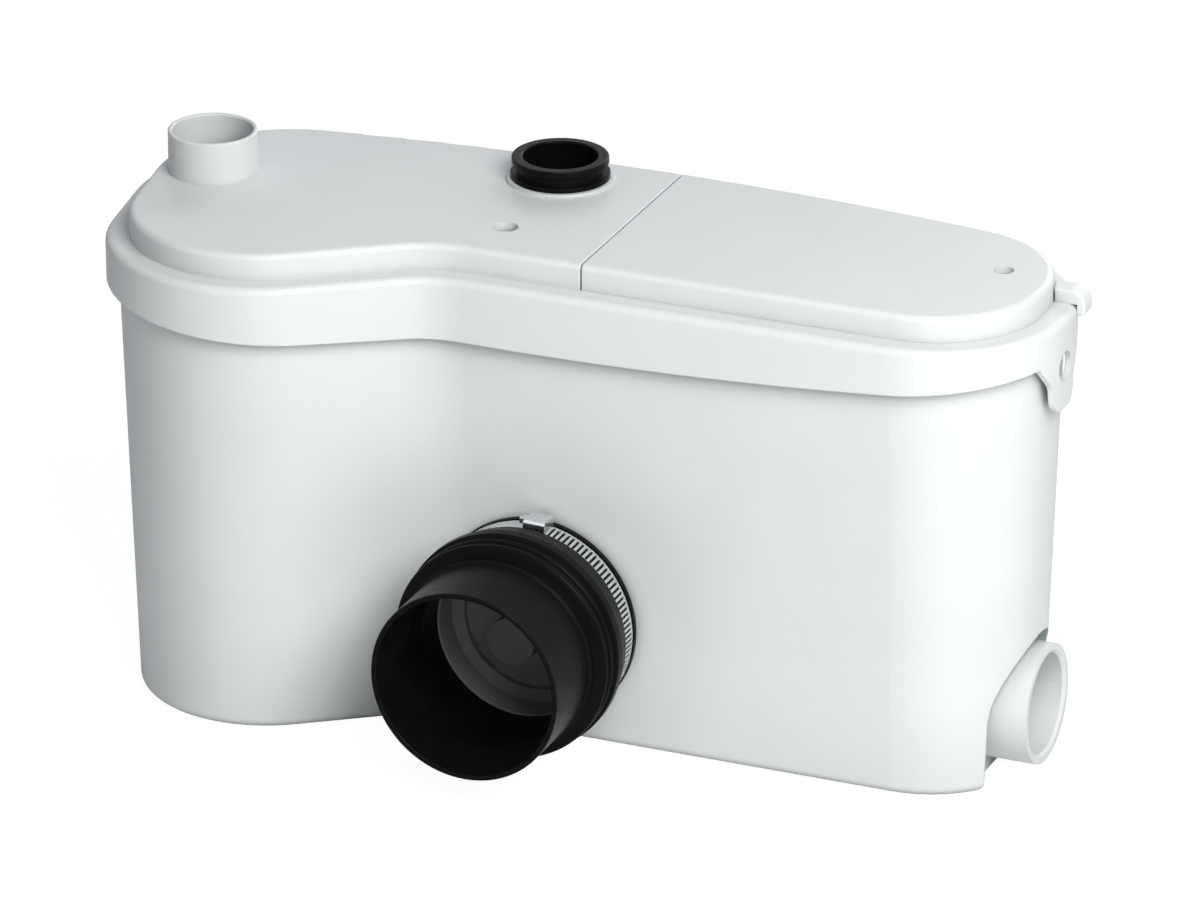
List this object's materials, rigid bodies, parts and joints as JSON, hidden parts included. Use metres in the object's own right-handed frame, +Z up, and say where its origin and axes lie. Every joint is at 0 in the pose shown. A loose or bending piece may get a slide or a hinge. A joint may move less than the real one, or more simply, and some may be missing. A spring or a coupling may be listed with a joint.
{
  "type": "macerator toilet pump",
  "caption": "Kidney-shaped macerator toilet pump with lidded tank, toilet sleeve, side and top waste inlets, discharge ring and service hatch.",
  "frame": {"origin": "on the floor under the middle of the tank", "axes": "+X towards the end with the side inlet, +Y towards the wall behind the pump, +Z up; the toilet sleeve points along -Y"},
  "size_m": [0.52, 0.2543, 0.292],
  "materials": {
    "white_abs": "glossy injection-moulded white",
    "black_rubber": "satin black moulded rubber",
    "grey_rubber": "dark grey moulded rubber",
    "stainless": "bright stainless steel",
    "grey_plastic": "grey moulded plastic",
    "painted_can": "dark painted steel can",
    "lamination": "laminated steel",
    "copper": "enamelled copper wire",
    "black_plastic": "black moulded plastic",
    "capacitor_shell": "off-white plastic shell"
  },
  "bodies": {
    "housing": {"tank": "white_abs", "lid": "white_abs", "lid_seal": "black_rubber", "hatch_seal": "black_rubber", "cable_hood": "white_abs", "outlet_ring": "black_rubber", "toilet_sleeve": "black_rubber", "clamp_band": "stainless", "clamp_housing": "stainless", "inlet_seat": "grey_rubber", "inlet_flap_pin": "stainless", "side_flap_pin": "stainless", "motor_plate": "grey_plastic", "plate_screws": "stainless", "motor_housing": "painted_can", "motor_cap": "grey_plastic", "stator_core": "lamination", "stator_winding": "copper", "upper_bearing": "stainless", "lower_bearing": "stainless", "shaft_seal": "black_rubber", "pump_volute": "grey_plastic", "cutter_plate": "stainless", "macerator_basket": "grey_plastic", "pump_feet": "black_rubber", "discharge_elbow": "black_rubber", "valve_body": "grey_plastic", "valve_flap_pin": "stainless", "valve_cap": "grey_plastic", "discharge_pipe": "grey_plastic", "dip_tube": "grey_plastic", "membrane": "black_rubber", "membrane_cover": "grey_plastic", "microswitch": "black_plastic", "capacitor": "capacitor_shell", "capacitor_clip": "stainless", "terminal_block": "black_plastic"},
    "hatch": {"service_hatch": "white_abs"},
    "hatch_screw": {"hatch_screw": "stainless"},
    "lid_screw": {"lid_screw": "stainless"},
    "clamp_screw": {"clamp_screw": "stainless"},
    "toilet_flap": {"inlet_flap": "grey_rubber"},
    "basin_flap": {"side_flap": "grey_rubber"},
    "check_flap": {"valve_flap": "grey_plastic"},
    "rotor": {"motor_shaft": "stainless", "rotor": "lamination", "impeller": "grey_plastic", "cutter_blade": "stainless"},
    "plunger": {"switch_plunger": "black_plastic"}
  },
  "joints": [
    {"name": "motor_spin", "type": "hinge", "parent": "housing", "child": "rotor", "pos_m": [0.112, -0.004, 0.12], "axis": [0, 0, 1], "continuous": true},
    {"name": "toilet_flap_swing", "type": "hinge", "parent": "housing", "child": "toilet_flap", "pos_m": [-0.0024, -0.0782, 0.112], "axis": [1, 0, 0], "range_deg": [0, 45]},
    {"name": "basin_flap_swing", "type": "hinge", "parent": "housing", "child": "basin_flap", "pos_m": [0.2197, -0.013, 0.0713], "axis": [0, 1, 0], "range_deg": [0, 38]},
    {"name": "check_flap_swing", "type": "hinge", "parent": "housing", "child": "check_flap", "pos_m": [-0.0195, 0.0335, 0.1062], "axis": [0, 1, 0], "range_deg": [0, 65]},
    {"name": "hatch_lift", "type": "slide", "parent": "housing", "child": "hatch", "axis": [0, 0, 1], "range_m": [0, 0.04]},
    {"name": "hatch_screw_turn", "type": "hinge", "parent": "hatch", "child": "hatch_screw", "pos_m": [0.2227, 0.0027, 0.262], "axis": [0, 0, 1], "continuous": true},
    {"name": "lid_screw_turn", "type": "hinge", "parent": "housing", "child": "lid_screw", "pos_m": [-0.036, -0.041, 0.262], "axis": [0, 0, 1], "continuous": true},
    {"name": "clamp_screw_turn", "type": "hinge", "parent": "housing", "child": "clamp_screw", "pos_m": [-0.00036, -0.089, 0.12796], "axis": [0.9994, 0, -0.0349], "continuous": true},
    {"name": "plunger_travel", "type": "slide", "parent": "housing", "child": "plunger", "axis": [0, 0, 1], "range_m": [0, 0.0025], "stiffness_N_per_m": 300, "springref_m": -0.002}
  ]
}
